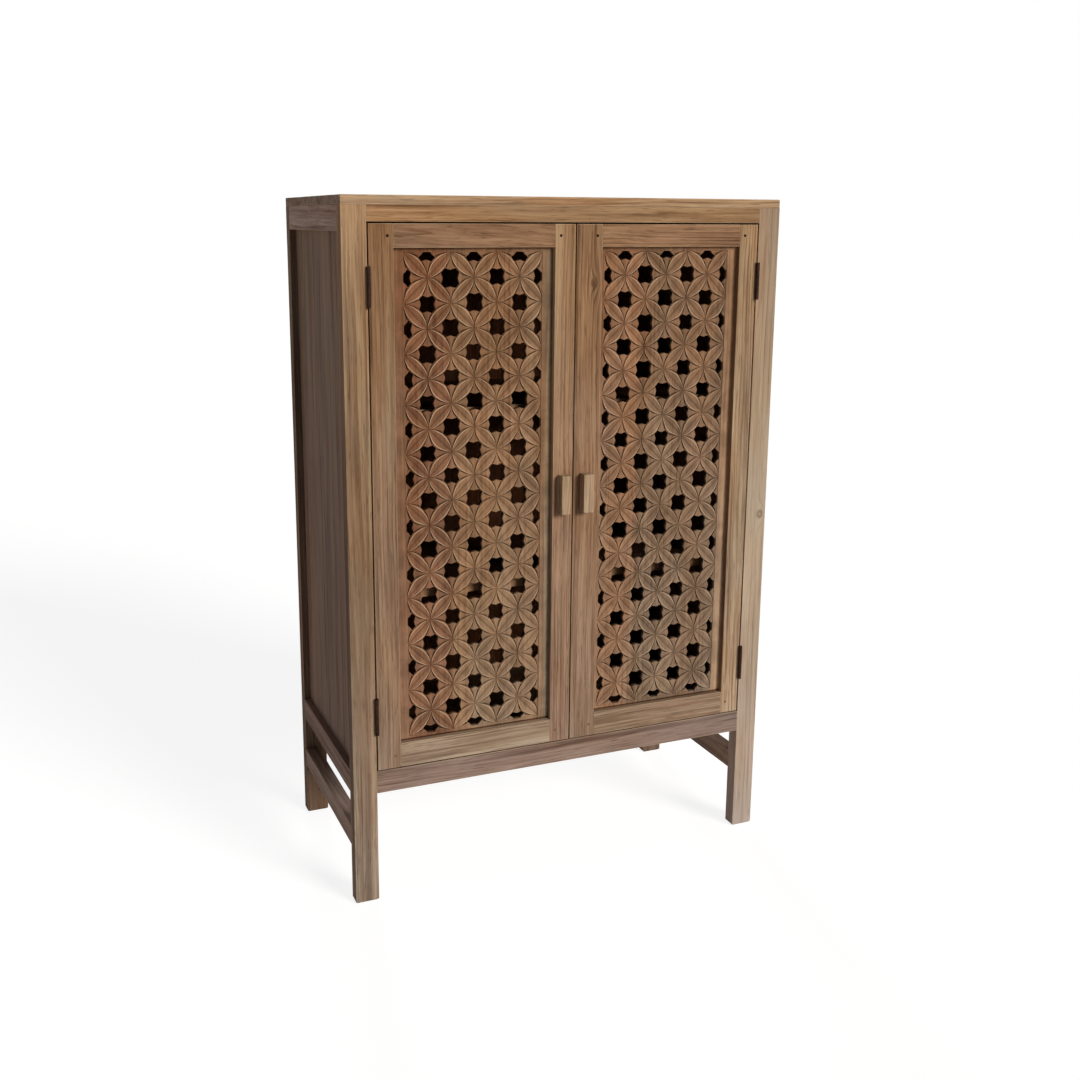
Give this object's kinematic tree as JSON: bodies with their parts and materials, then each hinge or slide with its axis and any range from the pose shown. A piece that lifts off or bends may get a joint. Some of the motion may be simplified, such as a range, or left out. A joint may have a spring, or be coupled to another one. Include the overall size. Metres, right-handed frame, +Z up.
{
  "type": "carved wardrobe",
  "caption": "Free-standing wooden wardrobe on tall legs, with inset hinged doors whose panels are pierced and carved in an interlaced petal pattern, and shelves inside.",
  "frame": {"origin": "on the floor, under the middle of the whole box with the doors shut", "axes": "+Z up, -Y out of the doors, +X to the right of someone who faces the doors"},
  "size_m": [0.8, 0.409, 1.2],
  "materials": {
    "case_wood": "matt, open grain",
    "door_wood": "matt, open grain",
    "panel_wood": "matt, open grain",
    "inner_wood": "matt, unfinished",
    "carved_wood": "matt, hand carved",
    "handle_wood": "matt, sanded",
    "peg_wood": "matt, dark end grain",
    "hinge_metal": "dark bronzed, worn",
    "screw_steel": "dulled",
    "strike_steel": "plain",
    "catch_plastic": "matt"
  },
  "bodies": {
    "cabinet": {"back_bottom_rail": "case_wood", "back_left_post": "case_wood", "back_panel": "inner_wood", "back_right_post": "case_wood", "back_top_rail": "case_wood", "bottom_board": "inner_wood", "bottom_board_cleats": "inner_wood", "door_catch": "catch_plastic", "frame_hinge_screws": "screw_steel", "front_bottom_rail": "case_wood", "front_left_post": "case_wood", "front_right_post": "case_wood", "front_top_rail": "case_wood", "left_bottom_rail": "case_wood", "left_lower_hinge_frame_leaf": "hinge_metal", "left_lower_hinge_pin": "hinge_metal", "left_side_panel": "panel_wood", "left_stretcher": "case_wood", "left_top_rail": "case_wood", "left_upper_hinge_frame_leaf": "hinge_metal", "left_upper_hinge_pin": "hinge_metal", "lower_shelf": "inner_wood", "lower_shelf_cleats": "inner_wood", "right_bottom_rail": "case_wood", "right_lower_hinge_frame_leaf": "hinge_metal", "right_lower_hinge_pin": "hinge_metal", "right_side_panel": "panel_wood", "right_stretcher": "case_wood", "right_top_rail": "case_wood", "right_upper_hinge_frame_leaf": "hinge_metal", "right_upper_hinge_pin": "hinge_metal", "top_board": "case_wood", "upper_shelf": "inner_wood", "upper_shelf_cleats": "inner_wood"},
    "left_door": {"left_carved_panel": "carved_wood", "left_door_bottom_rail": "door_wood", "left_door_hinge_screws": "screw_steel", "left_door_pegs": "peg_wood", "left_door_top_rail": "door_wood", "left_handle": "handle_wood", "left_handle_screws": "screw_steel", "left_hinge_stile": "door_wood", "left_lower_hinge_door_leaf": "hinge_metal", "left_meeting_stile": "door_wood", "left_strike_plate": "strike_steel", "left_upper_hinge_door_leaf": "hinge_metal"},
    "right_door": {"right_carved_panel": "carved_wood", "right_door_bottom_rail": "door_wood", "right_door_hinge_screws": "screw_steel", "right_door_pegs": "peg_wood", "right_door_top_rail": "door_wood", "right_handle": "handle_wood", "right_handle_screws": "screw_steel", "right_hinge_stile": "door_wood", "right_lower_hinge_door_leaf": "hinge_metal", "right_meeting_stile": "door_wood", "right_strike_plate": "strike_steel", "right_upper_hinge_door_leaf": "hinge_metal"}
  },
  "joints": [
    {"name": "left_door_hinge", "type": "hinge", "parent": "cabinet", "child": "left_door", "pos_m": [-0.3577, -0.18905, 0.7], "axis": [0, 0, -1], "range_deg": [0, 175]},
    {"name": "right_door_hinge", "type": "hinge", "parent": "cabinet", "child": "right_door", "pos_m": [0.3577, -0.18905, 0.7], "axis": [0, 0, 1], "range_deg": [0, 175]}
  ]
}
